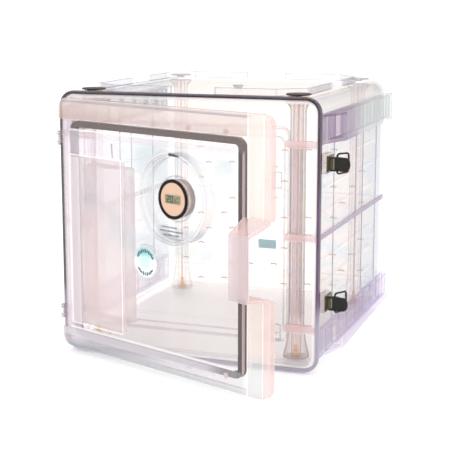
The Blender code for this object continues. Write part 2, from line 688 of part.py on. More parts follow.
def make_keepers(door):
    """Lugs behind the door's overhanging edge that the latch bails catch."""
    back = DOOR_BACK + GAP
    nose = 4 * MM
    end = 6.8 * MM
    outline = ((156.6, back / MM), (167, back / MM), (167, -2.2), (161.4, -0.6), (161.4, nose / MM),
               (168.4, nose / MM), (168.4, 5.4), (166, end / MM), (156.6, end / MM))
    for name, level in LATCH_LEVELS.items():
        points = [(x * MM - HINGE_X, y * MM - HINGE_Y) for x, y in outline]
        node(f"latch_keeper_{name}", prism(points, level - 8 * MM, level + 8 * MM), "clear", door)


def make_hinges(cabinet):
    for name, level in HINGE_LEVELS.items():
        shape = box((-4 * MM, 4.1 * MM, level - BRACKET_HALF), (4 * MM, -HINGE_Y - GAP, level + BRACKET_HALF))
        for side in (-1, 1):
            ends = sorted((level + side * (KNUCKLE_HALF + GAP), level + side * BRACKET_HALF))
            ear = union(box((-3.4 * MM, 0, ends[0]), (3.4 * MM, 4.6 * MM, ends[1])),
                        rod(KNUCKLE_RADIUS, ends[0], ends[1], 16))
            shape = union(shape, ear)
        shape = cut(shape, rod(PIN_RADIUS + PIN_PLAY, level - 2 * BRACKET_HALF, level + 2 * BRACKET_HALF, 12))
        place = (HINGE_X, HINGE_Y, 0)
        smooth(node(f"hinge_bracket_{name}", shape, "clear", cabinet, place), 40)
        pin = rod(PIN_RADIUS, level - BRACKET_HALF - 0.5 * MM, level + BRACKET_HALF + 0.5 * MM, 12)
        smooth(node(f"hinge_pin_{name}", pin, "steel", cabinet, place))


# ---------------------------------------------------------------- latches

def lever_shape():
    """The lever, pointing along +X from its pivot at the origin."""
    cheek = [(0, -3.5), (12, -3.5), (12, -1.6), (8, 1.8), (0, 1.8), (-1.4, 1.2), (-2, 0), (-1.8, -1.2)]
    points = [(x * MM, y * MM) for x, y in cheek]
    face = [(3.4 * MM, -LEVER_HALF)]
    tip = 5 * MM
    for i in range(7):
        angle = math.radians(-90 + 30 * i)
        bend = tip if abs(math.sin(angle)) < 1 else 0
        face.append((LEVER_LENGTH - tip + tip * math.cos(angle), LEVER_HALF * math.sin(angle) if bend else
                     math.copysign(LEVER_HALF, math.sin(angle))))
    face.append((3.4 * MM, LEVER_HALF))
    plate = prism(face, -3.5 * MM, -2.2 * MM, "Y")
    shape = union(plate, prism(points, LEVER_INSIDE, LEVER_HALF), prism(points, -LEVER_HALF, -LEVER_INSIDE))
    pivot = rod(PIVOT_HOLE, -10 * MM, 10 * MM, 10)
    bail = rod(BAIL_WIRE + PIN_PLAY, -10 * MM, 10 * MM, 10, centre=(*BAIL_PIVOT, 0))
    return cut(shape, pivot, bail)


def bail_path():
    """The bail's wire from inside one cheek of the lever, round its crossbar, into the other cheek."""
    along = Vector((*BAIL_REACH, 0.0))
    bend = BAIL_BEND
    direction = along.normalized()
    half = [Vector((0, 0, BAIL_END)), Vector((0, 0, BAIL_HALF - bend))]
    for centre, start in ((direction * bend + Vector((0, 0, BAIL_HALF - bend)), 180),
                          (along - direction * bend + Vector((0, 0, BAIL_HALF - bend)), 90)):
        for i in range(1, 4):
            angle = math.radians(start - 30 * i)
            half.append(centre + direction * bend * math.cos(angle) + Vector((0, 0, bend * math.sin(angle))))
    other = [Vector((p.x, p.y, -p.z)) for p in reversed(half)]
    return half + other


def make_latch(cabinet, name, level):
    """A base block on a boss, a lever on its pivot pin and a wire bail on the lever."""
    boss = rounded(8.5 * MM, 34 * MM, level - 11 * MM, level + 11 * MM, 2.5 * MM, steps=3)
    node(f"latch_boss_{name}", prism(boss, TUB_HALF + GAP, 158.6 * MM, "X"), "clear", cabinet)
    block = union(
        box((158.9 * MM, 9.5 * MM, level - 8.5 * MM), (160.9 * MM, 32 * MM, level + 8.5 * MM)),
        box((160.4 * MM, 12.8 * MM, level - 5.8 * MM), (165.2 * MM, 19.2 * MM, level + 5.8 * MM)))
    hole = rod(PIVOT_HOLE, level - 9 * MM, level + 9 * MM, 10, centre=(LEVER_X, LEVER_Y, 0))
    node(f"latch_base_{name}", cut(block, hole), "olive_metal", cabinet)
    pin = rod(PIVOT_PIN, level - 8.2 * MM, level + 8.2 * MM, 10, centre=(LEVER_X, LEVER_Y, 0))
    smooth(node(f"latch_pivot_pin_{name}", pin, "steel", cabinet))
    lever = axis_empty(f"latch_lever_axis_{name}", (LEVER_X, LEVER_Y, level), cabinet)
    smooth(node(f"latch_lever_{name}", lever_shape(), "black_metal", lever), 50)
    bail_axis = axis_empty(f"latch_bail_axis_{name}", (*BAIL_PIVOT, 0.0), lever)
    smooth(node(f"latch_bail_{name}", wire(bail_path(), BAIL_WIRE), "black_metal", bail_axis), 60)


def main():
    for item in list(bpy.data.objects):
        bpy.data.objects.remove(item)
    cabinet = axis_empty("cabinet", (CABINET_X, CABINET_Y, 0))
    make_tub(cabinet)
    make_frame(cabinet)
    make_rails(cabinet)
    make_posts(cabinet)
    make_fences(cabinet)
    make_port(cabinet)
    make_shelves(cabinet)
    make_hinges(cabinet)
    door = axis_empty("door_hinge_axis", (HINGE_X, HINGE_Y, 0), cabinet, -DOOR_OPEN)
    make_door_panel(door)
    make_gasket(door)
    make_pocket(door)
    make_instruments(door)
    make_keepers(door)
    for name, level in LATCH_LEVELS.items():
        make_latch(cabinet, name, level)


main()
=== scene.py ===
"""Looks for the desiccator cabinet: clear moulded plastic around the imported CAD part."""
import math

import bmesh  # noqa: E402
import bpy  # noqa: E402
from mathutils import Matrix, Vector  # noqa: E402


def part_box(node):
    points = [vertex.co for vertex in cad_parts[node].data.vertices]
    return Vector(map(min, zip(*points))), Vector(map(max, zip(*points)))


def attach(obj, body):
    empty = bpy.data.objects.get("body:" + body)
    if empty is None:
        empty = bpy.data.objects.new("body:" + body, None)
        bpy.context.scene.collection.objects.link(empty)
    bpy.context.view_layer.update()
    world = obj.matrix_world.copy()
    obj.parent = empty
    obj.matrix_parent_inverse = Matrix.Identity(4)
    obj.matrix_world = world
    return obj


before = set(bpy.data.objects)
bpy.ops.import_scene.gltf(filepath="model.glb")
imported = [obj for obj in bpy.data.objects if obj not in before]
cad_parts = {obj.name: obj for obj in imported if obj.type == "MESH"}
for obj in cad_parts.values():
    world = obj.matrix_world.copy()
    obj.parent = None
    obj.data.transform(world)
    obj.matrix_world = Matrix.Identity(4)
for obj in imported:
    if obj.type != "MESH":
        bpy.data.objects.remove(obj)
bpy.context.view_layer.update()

MM = 0.001
FRAME_LOW, FRAME_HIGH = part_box("front_frame")
# The middle of the front frame's face, on the ground
ORIGIN = Vector(((FRAME_LOW.x + FRAME_HIGH.x) / 2, FRAME_LOW.y, 0.0))
# The door's hinge axis, from that point, and the door's turn at rest
HINGE_X, HINGE_Y = -0.152, -0.006
HINGE = ORIGIN + Vector((HINGE_X, HINGE_Y, 0.0))
DOOR_TURN = math.radians(-22.3)


# ---------------------------------------------------------------- node helpers

class Tree:
    """A material's nodes, built by short calls."""

    def __init__(self, name):
        self.material = bpy.data.materials.new(name)
        self.material.use_nodes = True
        self.tree = self.material.node_tree
        self.shader = self.tree.nodes["Principled BSDF"]
        self.output = self.tree.nodes["Material Output"]
        self.point = None
        self.place = None

    def add(self, kind, **settings):
        item = self.tree.nodes.new(kind)
        for key, value in settings.items():
            setattr(item, key, value)
        return item

    def feed(self, socket, value):
        if isinstance(value, bpy.types.NodeSocket):
            self.tree.links.new(value, socket)
        elif isinstance(value, tuple) and len(value) == 3 and socket.type == "RGBA":
            socket.default_value = (*value, 1.0)
        else:
            socket.default_value = value

    def math(self, operation, *values):
        item = self.add("ShaderNodeMath", operation=operation)
        for socket, value in zip(item.inputs, values):
            self.feed(socket, value)
        return item.outputs[0]

    def ramp(self, value, low, high, out_low=0.0, out_high=1.0):
        """Takes value smoothly from low..high to out_low..out_high, and holds it outside them."""
        item = self.add("ShaderNodeMapRange", interpolation_type="SMOOTHSTEP")
        item.clamp = True
        for socket, entry in zip(item.inputs, (value, low, high, out_low, out_high)):
            self.feed(socket, entry)
        return item.outputs[0]

    def blend(self, factor, first, second):
        item = self.add("ShaderNodeMix", data_type="RGBA")
        self.feed(item.inputs[0], factor)
        self.feed(item.inputs[6], first)
        self.feed(item.inputs[7], second)
        return item.outputs[2]

    def axes(self):
        """The surface point in the row frame at rest, as x, y and z."""
        if self.place is None:
            self.point = self.add("ShaderNodeTexCoord").outputs["Object"]
            self.place = self.add("ShaderNodeSeparateXYZ")
            self.feed(self.place.inputs[0], self.point)
        return self.place.outputs

    def off_middle(self):
        """The surface point's distance from the cabinet's middle plane."""
        return self.math("ABSOLUTE", self.math("SUBTRACT", self.axes()[0], ORIGIN.x))

    def noise(self, scale, detail=2.0, stretch=None):
        self.axes()
        vector = self.point
        if stretch:
            mapping = self.add("ShaderNodeMapping")
            self.feed(mapping.inputs[0], self.point)
            mapping.inputs["Scale"].default_value = stretch
            vector = mapping.outputs[0]
        item = self.add("ShaderNodeTexNoise")
        self.feed(item.inputs["Vector"], vector)
        item.inputs["Scale"].default_value = scale
        item.inputs["Detail"].default_value = detail
        return item.outputs[0]

    def bump(self, height, strength, distance):
        item = self.add("ShaderNodeBump")
        item.inputs["Strength"].default_value = strength
        item.inputs["Distance"].default_value = distance
        self.feed(item.inputs["Height"], height)
        self.feed(self.shader.inputs["Normal"], item.outputs[0])

    def facing(self):
        """Zero face on, rising to one along a surface seen edge on."""
        item = self.add("ShaderNodeLayerWeight")
        item.inputs["Blend"].default_value = 0.5
        return item.outputs["Facing"]

    def corner(self, radius):
        """One along the sharp corners of the mesh, zero on its faces."""
        bevel = self.add("ShaderNodeBevel", samples=4)
        bevel.inputs["Radius"].default_value = radius
        dot = self.add("ShaderNodeVectorMath", operation="DOT_PRODUCT")
        self.feed(dot.inputs[0], bevel.outputs[0])
        self.feed(dot.inputs[1], self.add("ShaderNodeNewGeometry").outputs["Normal"])
        return self.ramp(self.math("ABSOLUTE", dot.outputs["Value"]), 0.99, 0.90)

    def band(self, value, low, high, soft=0.001):
        """One between low and high, zero outside them."""
        rise = self.ramp(value, low - soft, low + soft)
        return self.math("SUBTRACT", rise, self.ramp(value, high - soft, high + soft))

    def both(self, first, second):
        return self.math("MULTIPLY", first, second)

    def total(self, masks):
        """The sum of masks that don't overlap."""
        whole = masks[0]
        for mask in masks[1:]:
            whole = self.math("ADD", whole, mask)
        return whole

    def window(self, x, z, span, rise, soft_x=0.001, soft_z=0.001):
        """One inside the rectangle span by rise, zero outside it."""
        return self.both(self.band(x, *span, soft_x), self.band(z, *rise, soft_z))

    def closed(self):
        """The point's x, y and z from the frame's middle, with the door turned shut."""
        x, y, z = self.axes()
        dx = self.math("SUBTRACT", x, HINGE.x)
        dy = self.math("SUBTRACT", y, HINGE.y)
        cos, sin = math.cos(-DOOR_TURN), math.sin(-DOOR_TURN)
        across = self.math("SUBTRACT", self.math("MULTIPLY", dx, cos), self.math("MULTIPLY", dy, sin))
        deep = self.math("ADD", self.math("MULTIPLY", dx, sin), self.math("MULTIPLY", dy, cos))
        return self.math("ADD", across, HINGE_X), self.math("ADD", deep, HINGE_Y), z

    def paint(self, state, mask, amount, colour, tint=None):
        """Takes haze, colour and tint towards the given ones where the mask is one."""
        old_amount, old_colour, old_tint = state
        more = self.math("MULTIPLY", mask, amount)
        kept = self.math("MULTIPLY", old_amount, self.math("SUBTRACT", 1.0, mask))
        if tint is not None:
            old_tint = self.blend(mask, old_tint, tint)
        return self.math("ADD", kept, more), self.blend(mask, old_colour, colour), old_tint

    def set(self, **values):
        """Sets the shader's inputs; an underscore stands for a space in an input's name."""
        for name, value in values.items():
            self.feed(self.shader.inputs[name.replace("_", " ")], value)


def clear(name, body, through, haze, rim, rim_haze, rim_power=3.0, zones=None, line=(0.55, 0.48, 0.55),
          line_haze=0.45, line_width=0.0011, roughness=0.1):
    """Clear moulded plastic: mostly see-through face on, tinted and glossy at its rims and edges.

    body is the colour of its haze, through what it lets pass, rim the colour of its edges seen
    along the wall and line the colour painted along its sharp corners, a dark line standing in for
    refraction shade and a pale one for a highlight. zones paints its haze by place."""
    tree = Tree(name)
    edge = tree.math("POWER", tree.facing(), rim_power)
    cloud = tree.ramp(tree.noise(14.0, 3.0), 0.3, 0.7, 0.85, 1.15)
    amount = tree.math("MULTIPLY", haze, cloud)
    amount = tree.math("ADD", amount, tree.math("MULTIPLY", edge, rim_haze))
    tint = tree.blend(edge, through, rim)
    colour = tree.blend(edge, body, rim)
    if zones is not None:
        amount, colour, tint = zones(tree, (amount, colour, tint))
    # Painted edge lines: dark ones stand in for the shade refraction gives a clear edge, pale ones for a highlight
    corner = tree.corner(line_width)
    colour = tree.blend(corner, colour, line)
    amount = tree.math("ADD", amount, tree.math("MULTIPLY", corner, line_haze))
    amount = tree.math("MINIMUM", amount, 1.0)
    tree.set(Base_Color=colour, Roughness=roughness)
    tree.bump(tree.noise(9.0, 1.0), 0.25, 0.001)
    window = tree.add("ShaderNodeBsdfTransparent")
    tree.feed(window.inputs[0], tint)
    mix = tree.add("ShaderNodeMixShader")
    tree.feed(mix.inputs[0], amount)
    tree.feed(mix.inputs[1], window.outputs[0])
    tree.feed(mix.inputs[2], tree.shader.outputs[0])
    tree.feed(tree.output.inputs[0], mix.outputs[0])
    return tree.material


def grained(name, scale, dark, light, detail=2.0, stretch=None, bump=None, **values):
    """An opaque material that wanders between two tones; bump is a strength and a distance."""
    tree = Tree(name)
    grain = tree.noise(scale, detail, stretch)
    tree.set(Base_Color=tree.blend(grain, dark, light), **values)
    if bump is not None:
        tree.bump(grain, *bump)
    return tree.material


def box_distance(tree, u, v, centre, half, radius):
    """Distance from the outline of a rounded rectangle, negative inside it."""
    across, up = (tree.math("SUBTRACT", tree.math("ABSOLUTE", tree.math("SUBTRACT", value, middle)), reach - radius)
                  for value, middle, reach in zip((u, v), centre, half))
    out_across = tree.math("MAXIMUM", across, 0.0)
    out_up = tree.math("MAXIMUM", up, 0.0)
    squares = tree.math("ADD", tree.math("MULTIPLY", out_across, out_across), tree.math("MULTIPLY", out_up, out_up))
    inside = tree.math("MINIMUM", tree.math("MAXIMUM", across, up), 0.0)
    return tree.math("SUBTRACT", tree.math("ADD", tree.math("SQRT", squares), inside), radius)


# ---------------------------------------------------------------- zones of the clear parts
# A state is a haze amount, its colour and the tint of what passes through. Places are in metres.

FRAME_CORNER = 0.0175
WEB_LEVELS = (0.050, 0.152, 0.254)
WEB_HALF = 0.004
NEAR_BLACK = (0.02, 0.012, 0.022)


def frame_zones(tree, state):
    """The front frame's rounded edge in painted shade, a painted highlight line just inside it, and its pink webs."""
    x, _, z = tree.axes()
    centre = (ORIGIN.x, (FRAME_LOW.z + FRAME_HIGH.z) / 2)
    half = ((FRAME_HIGH.x - FRAME_LOW.x) / 2, (FRAME_HIGH.z - FRAME_LOW.z) / 2)
    depth = box_distance(tree, x, z, centre, half, FRAME_CORNER)
    # A painted highlight: the pale line just inside the rounded edge
    line = tree.math("SUBTRACT", tree.ramp(depth, -0.0085, -0.0065), tree.ramp(depth, -0.0058, -0.0040))
    state = tree.paint(state, tree.both(line, 0.7), 0.7, (1.0, 0.98, 0.97))
    # Painted shade on the rounded edge in place of its refraction: near black to the left above the foot and at the
    # top, paler at the foot
    shade = tree.ramp(tree.noise(11.0), 0.35, 0.65)
    above_foot = tree.ramp(z, 0.05, 0.09)
    to_left = tree.ramp(x, ORIGIN.x, ORIGIN.x - 0.14)
    purple = tree.blend(shade, (0.028, 0.016, 0.036), (0.12, 0.075, 0.14))
    purple = tree.blend(tree.both(above_foot, to_left), purple, NEAR_BLACK)
    purple = tree.blend(tree.ramp(z, 0.294, 0.300), purple, (0.022, 0.012, 0.028))
    purple = tree.blend(above_foot, (0.42, 0.38, 0.48), purple)
    painted_edge_shade = tree.ramp(depth, -0.0046, -0.0032)
    state = tree.paint(state, painted_edge_shade, 0.9, purple, (0.40, 0.32, 0.44))
    webs = tree.total([tree.band(z, level - WEB_HALF, level + WEB_HALF) for level in WEB_LEVELS])
    webs = tree.both(webs, tree.band(tree.off_middle(), 0.114, 0.151))
    return tree.paint(state, tree.both(webs, 0.9), 0.42, (0.88, 0.60, 0.58))


def tub_zones(tree, state):
    """Bluer side walls to the rear, a cream back wall, a pale roof, grey upper edges, and painted light on the floor.
    """
    _, y, z = tree.axes()
    off = tree.off_middle()
    side_rear = tree.both(tree.ramp(off, 0.148, 0.151), tree.ramp(y, ORIGIN.y + 0.17, ORIGIN.y + 0.24))
    state = tree.paint(state, tree.both(side_rear, 0.9), 0.24, (0.50, 0.61, 0.68))
    back_wall = tree.ramp(y, ORIGIN.y + 0.310, ORIGIN.y + 0.3115)
    state = tree.paint(state, back_wall, 0.07, (0.96, 0.90, 0.85), (0.995, 0.962, 0.928))
    patches = tree.ramp(tree.noise(26.0, 1.0, (1.0, 1.0, 2.2)), 0.42, 0.66)
    cool = tree.both(back_wall, tree.both(patches, tree.ramp(z, 0.27, 0.25)))
    state = tree.paint(state, cool, 0.12, (0.66, 0.75, 0.77), (0.965, 0.98, 0.985))
    # Painted light: a pale haze on the tub's floor that lifts the shadow seen through it
    bottom = tree.ramp(z, 0.0165, 0.0130)
    state = tree.paint(state, bottom, 0.5, (0.98, 0.96, 0.955))
    ledges = tree.both(tree.ramp(z, 0.296, 0.290), tree.band(off, 0.142, 0.1492, 0.0004))
    state = tree.paint(state, ledges, 0.02, (0.92, 0.88, 0.88), (0.99, 0.985, 0.985))
    roof = tree.both(tree.ramp(z, 0.298, 0.3005), tree.ramp(off, 0.137, 0.133))
    state = tree.paint(state, roof, 0.035, (1.0, 0.99, 0.99), (0.995, 0.995, 0.995))
    proud_seams = tree.ramp(off, 0.1532, 0.1534)
    state = tree.paint(state, proud_seams, 0.50, (0.30, 0.29, 0.33))
    upper_edge = tree.both(tree.ramp(z, 0.284, 0.290), tree.ramp(off, 0.134, 0.140))
    return tree.paint(state, tree.both(upper_edge, 0.85), 0.26, (0.60, 0.61, 0.59))


# Cooler patches in the door's clear middle: span, rise, haze and colour
DOOR_PATCHES = (
    ((-0.046, 0.120), (0.2235, 0.2515), 0.26, (0.50, 0.61, 0.63)),
    ((-0.050, 0.092), (0.138, 0.158), 0.24, (0.55, 0.63, 0.66)),
    ((-0.060, 0.020), (0.045, 0.070), 0.10, (0.66, 0.66, 0.68)),
)
# The outline drawn around the tray on the door's face
OUTLINE_LEFT, OUTLINE_RIGHT = -0.1284, -0.0446
OUTLINE_LOW, OUTLINE_HIGH = 0.0406, 0.2354
OUTLINE_HALF = 0.0006
OUTLINE_SOFT = 0.0003
OUTLINE_COLOUR = (1.0, 0.90, 0.90)


def door_middle(tree, state, x, z):
    """Cloudy teal-grey haze in the clear middle, stronger high up."""
    middle = tree.window(x, z, (-0.118, 0.121), (0.032, 0.262), 0.002, 0.002)
    cloud = tree.ramp(tree.noise(9.0, 3.0, (1.0, 1.0, 1.6)), 0.42, 0.62)
    high = tree.ramp(z, 0.12, 0.19, 0.35, 1.0)
    state = tree.paint(state, tree.both(middle, tree.both(cloud, high)), 0.22, (0.42, 0.53, 0.56))
    broken = tree.ramp(tree.noise(22.0), 0.35, 0.60)
    for span, rise, haze, colour in DOOR_PATCHES:
        patch = tree.window(x, z, span, rise, 0.006, 0.005)
        state = tree.paint(state, tree.both(patch, broken), haze, colour)
    return state


def door_left(tree, state, x, y, z):
    """The hazy strip beside and above the tray, and the tray's pale outline on the door's face."""
    state = tree.paint(state, tree.band(x, -0.1385, -0.1150), 0.40, (0.80, 0.72, 0.77))
    beside = tree.window(x, z, (-0.1310, -0.1125), (0.041, 0.233), 0.0008)
    state = tree.paint(state, beside, 0.55, (0.86, 0.78, 0.80))
    above = tree.window(x, z, (-0.1310, -0.046), (0.236, 0.256), 0.003, 0.003)
    state = tree.paint(state, above, 0.34, (0.80, 0.74, 0.80))
    face = tree.ramp(y, -0.0110, -0.0117)
    tall = tree.both(tree.band(z, OUTLINE_LOW - OUTLINE_HALF, OUTLINE_HIGH + OUTLINE_HALF, OUTLINE_SOFT), face)
    wide = tree.both(tree.band(x, OUTLINE_LEFT - OUTLINE_HALF, OUTLINE_RIGHT + OUTLINE_HALF, OUTLINE_SOFT), face)
    for along, value, places in ((tall, x, (OUTLINE_LEFT, OUTLINE_RIGHT)), (wide, z, (OUTLINE_LOW, OUTLINE_HIGH))):
        for place in places:
            line = tree.band(value, place - OUTLINE_HALF, place + OUTLINE_HALF, OUTLINE_SOFT)
            state = tree.paint(state, tree.both(along, line), 0.8, OUTLINE_COLOUR)
    return state


def door_top(tree, state, x, z):
    """The peach strip over the gasket with its dark upper line, the lilac strip under it and a painted
    highlight line along that strip's top.
    """
    peach = tree.blend(tree.ramp(z, 0.276, 0.292), (0.62, 0.48, 0.44), (0.76, 0.63, 0.59))
    strip = tree.both(tree.ramp(z, 0.2735, 0.2755), tree.ramp(x, 0.145, 0.135))
    state = tree.paint(state, strip, 0.42, peach)
    edge = tree.window(x, z, (-0.140, 0.138), (0.2935, 0.2955), soft_z=0.0007)
    state = tree.paint(state, edge, 0.6, (0.42, 0.38, 0.38))
    under = tree.window(x, z, (-0.140, 0.122), (0.2555, 0.2635))
    state = tree.paint(state, tree.both(under, 0.9), 0.36, (0.72, 0.65, 0.70))
    # A painted highlight line along the top of the lilac strip
    shine = tree.window(x, z, (-0.128, 0.120), (0.2625, 0.2640), soft_z=0.0005)
    return tree.paint(state, shine, 0.5, (1.0, 0.95, 0.96))


def door_bottom(tree, state, x, z):
    """The grey rim below, which hides most of the gasket's lower run, and a painted highlight line on it."""
    grey = tree.blend(tree.ramp(z, 0.012, 0.018), (0.42, 0.52, 0.53), (0.60, 0.57, 0.61))
    rim = tree.both(tree.ramp(z, 0.0335, 0.0315), tree.ramp(x, 0.145, 0.130))
    state = tree.paint(state, rim, tree.ramp(x, -0.03, 0.125, 0.44, 0.24), grey)
    cover = tree.both(tree.band(z, 0.0235, 0.0325), tree.ramp(x, 0.110, 0.075))
    state = tree.paint(state, cover, 0.66, (0.68, 0.64, 0.68))
    # A painted highlight line along the rim's top
    shine = tree.window(x, z, (-0.132, 0.122), (0.0335, 0.0355), soft_z=0.0006)
    return tree.paint(state, shine, 0.7, (1.0, 0.96, 0.97))


def door_column(tree, state, x, y, z):
    """The cream column at the free edge, a painted highlight on its crease, its pink side darker with
    painted shade, and a painted highlight line where that side begins.
    """
    column = tree.both(tree.ramp(x, 0.1378, 0.1386), tree.ramp(y, -0.0135, -0.0125))
    cream = tree.blend(tree.ramp(z, 0.06, 0.04), (0.88, 0.75, 0.69), (0.70, 0.73, 0.71))
    state = tree.paint(state, column, 0.40, cream)
    # A painted highlight along the crease at the column's inner edge
    crease_highlight = tree.both(tree.band(x, 0.1382, 0.1397, 0.0004), column)
    state = tree.paint(state, crease_highlight, 0.7, (1.0, 0.97, 0.95))
    # Painted shade: the side turned from the light, pinker and darker
    state = tree.paint(state, tree.ramp(x, 0.1600, 0.1612), 0.50, (0.86, 0.64, 0.60))
    # A painted highlight line where the column turns into its side
    return tree.paint(state, tree.band(x, 0.1588, 0.1602, 0.0004), 0.65, (1.0, 0.90, 0.88))


def door_zones(tree, state):
    """The door's clear middle, its hazier rims, its column and its hood."""
    x, y, z = tree.closed()
    state = door_middle(tree, state, x, z)
    state = door_left(tree, state, x, y, z)
    state = door_top(tree, state, x, z)
    state = door_bottom(tree, state, x, z)
    state = door_column(tree, state, x, y, z)
    over_gasket = tree.window(x, z, (-0.128, 0.1375), (0.2645, 0.2740), 0.0015, 0.0006)
    state = tree.paint(state, over_gasket, 0.02, (1.0, 0.95, 0.94))
    hood = tree.ramp(y, -0.0125, -0.0135)
    state = tree.paint(state, hood, 0.46, (0.84, 0.63, 0.61))
    hood_front = tree.ramp(y, -0.0335, -0.0345)
    return tree.paint(state, hood_front, 0.46, (0.62, 0.56, 0.59))


# How far behind the frame's face each of the upper rail's inner ribs stands
RAIL_RIBS = (0.0095, 0.057, 0.062, 0.092, 0.130, 0.172, 0.210, 0.248, 0.282)
RAIL_RIB_HALF = 0.0013


def rail_zones(tree, state):
    """Violet at the front with a dark sill, pale and greyer to the rear, with upright ribs."""
    _, y, z = tree.axes()
    rear = tree.ramp(y, ORIGIN.y + 0.07, ORIGIN.y + 0.17)
    state = tree.paint(state, rear, 0.30, (0.64, 0.66, 0.64), (0.96, 0.97, 0.965))
    ribs = tree.total([tree.band(y, ORIGIN.y + place - RAIL_RIB_HALF, ORIGIN.y + place + RAIL_RIB_HALF, 0.0004)
                       for place in RAIL_RIBS])
    dark = tree.blend(rear, (0.24, 0.17, 0.28), (0.50, 0.50, 0.50))
    state = tree.paint(state, tree.both(ribs, 0.8), 0.36, dark)
    front = tree.ramp(y, ORIGIN.y + 0.066, ORIGIN.y + 0.058)
    sill = tree.both(tree.band(z, 0.2830, 0.2856, 0.0004), front)
    return tree.paint(state, sill, 0.6, (0.14, 0.08, 0.17))


def plug_zones(tree, state):
    """Greyer low on the plug's disc and at its upper left, with a dark glint at the top of its lip."""
    x, y, z = tree.closed()
    low = tree.window(x, z, (0.006, 0.066), (0.152, 0.172), 0.004, 0.003)
    state = tree.paint(state, low, 0.30, (0.52, 0.57, 0.60))
    high = tree.window(x, z, (0.0, 0.040), (0.216, 0.246), 0.004, 0.004)
    state = tree.paint(state, high, 0.22, (0.60, 0.66, 0.68))
    glint = tree.both(tree.ramp(z, 0.2462, 0.2472), tree.band(x, 0.030, 0.046))
    lip = tree.ramp(y, -0.0105, -0.0115)
    return tree.paint(state, tree.both(glint, lip), 0.95, (0.02, 0.012, 0.02))


def pocket_zones(tree, state):
    """Greyer in its upper half, pinker below."""
    amount, colour, tint = state
    upper = tree.ramp(tree.axes()[2], 0.12, 0.20)
    return amount, tree.blend(upper, colour, (0.76, 0.70, 0.73)), tint


# Upright stripes painted on the front right post for its refraction, the dark ones as painted shade:
# distance from the middle, softness, haze and colour
POST_REFRACTION_STRIPES = (
    ((0.1130, 0.1146), 0.0004, 0.62, (0.09, 0.07, 0.10)),
    ((0.1270, 0.1284), 0.0004, 0.45, (0.16, 0.16, 0.13)),
    ((0.1170, 0.1235), 0.001, 0.30, (0.80, 0.62, 0.64)),
)


def post_zones(tree, state):
    """Pale flared ends, and painted refraction stripes up the shaft: dark painted shade with a pink stripe between."""
    x, _, z = tree.axes()
    ends = tree.math("MAXIMUM", tree.ramp(z, 0.250, 0.262), tree.ramp(z, 0.056, 0.044))
    state = tree.paint(state, tree.both(ends, 0.75), 0.14, (0.95, 0.83, 0.78))
    off = tree.math("SUBTRACT", x, ORIGIN.x)
    shaft = tree.band(z, 0.058, 0.248)
    for span, soft, haze, colour in POST_REFRACTION_STRIPES:
        state = tree.paint(state, tree.both(shaft, tree.band(off, *span, soft)), haze, colour)
    return state


# ---------------------------------------------------------------- materials

CLEAR_LOOKS = {
    "tub": dict(
        name="tub_clear", body=(1.0, 0.96, 0.95), through=(0.995, 0.992, 0.992), haze=0.03, rim=(0.60, 0.58, 0.62),
        rim_haze=0.35, rim_power=4.0, zones=tub_zones, line=(0.50, 0.44, 0.52), line_haze=0.16),
    "frame": dict(
        name="frame_clear", body=(1.0, 0.95, 0.93), through=(0.995, 0.99, 0.985), haze=0.05, rim=(0.45, 0.36, 0.44),
        rim_haze=0.45, rim_power=3.5, zones=frame_zones, line=(0.42, 0.33, 0.38), line_haze=0.5),
    "door": dict(
        name="door_clear", body=(1.0, 0.95, 0.94), through=(0.995, 0.99, 0.99), haze=0.03, rim=(0.70, 0.58, 0.60),
        rim_haze=0.4, rim_power=3.5, zones=door_zones, line=(0.84, 0.70, 0.72), line_haze=0.6),
    "rail_low": dict(
        name="rail_low_clear", body=(0.90, 0.87, 0.92), through=(0.99, 0.982, 0.992), haze=0.03,
        rim=(0.74, 0.68, 0.80), rim_haze=0.10, line=(0.40, 0.31, 0.47), line_haze=0.6, line_width=0.0013),
    "rail": dict(
        name="rail_clear", body=(0.66, 0.56, 0.66), through=(0.955, 0.93, 0.96), haze=0.16, rim=(0.35, 0.27, 0.38),
        rim_haze=0.4, zones=rail_zones, line=(0.26, 0.20, 0.30), line_haze=0.85, line_width=0.0015),
    "rib": dict(
        name="rib_clear", body=(0.66, 0.60, 0.70), through=(0.93, 0.91, 0.95), haze=0.30, rim=(0.35, 0.27, 0.38),
        rim_haze=0.3),
    "post": dict(
        name="post_clear", body=(0.90, 0.78, 0.79), through=(0.97, 0.94, 0.94), haze=0.06, rim=(0.14, 0.11, 0.12),
        rim_haze=0.7, rim_power=2.7, zones=post_zones),
    "post_faint": dict(
        name="post_pale", body=(0.98, 0.92, 0.90), through=(0.99, 0.98, 0.98), haze=0.02, rim=(0.62, 0.52, 0.50),
        rim_haze=0.28),
    "shelf": dict(
        name="shelf_clear", body=(1.0, 0.96, 0.94), through=(0.999, 0.997, 0.995), haze=0.012,
        rim=(0.985, 0.965, 0.955), rim_haze=0.04, rim_power=4.0, line=(0.74, 0.52, 0.44), line_haze=0.6),
    "plug": dict(
        name="plug_clear", body=(0.78, 0.84, 0.87), through=(0.99, 0.99, 0.99), haze=0.09, rim=(0.55, 0.50, 0.54),
        rim_haze=0.3, zones=plug_zones, line=(1.0, 0.97, 0.98), line_haze=0.75),
    "trim": dict(
        name="trim_clear", body=(0.97, 0.96, 0.97), through=(0.99, 0.985, 0.99), haze=0.05, rim=(0.55, 0.52, 0.56),
        rim_haze=0.3, line=(0.22, 0.19, 0.24), line_haze=0.75),
    "pocket": dict(
        name="pocket_frosted", body=(0.86, 0.75, 0.74), through=(0.98, 0.96, 0.96), haze=0.36, rim=(0.80, 0.68, 0.70),
        rim_haze=0.2, zones=pocket_zones, line=(1.0, 0.86, 0.85), line_haze=0.7, roughness=0.35),
    "foot": dict(
        name="foot_clear", body=(0.62, 0.60, 0.62), through=(0.90, 0.89, 0.90), haze=0.30, rim=(0.30, 0.28, 0.32),
        rim_haze=0.4),
}

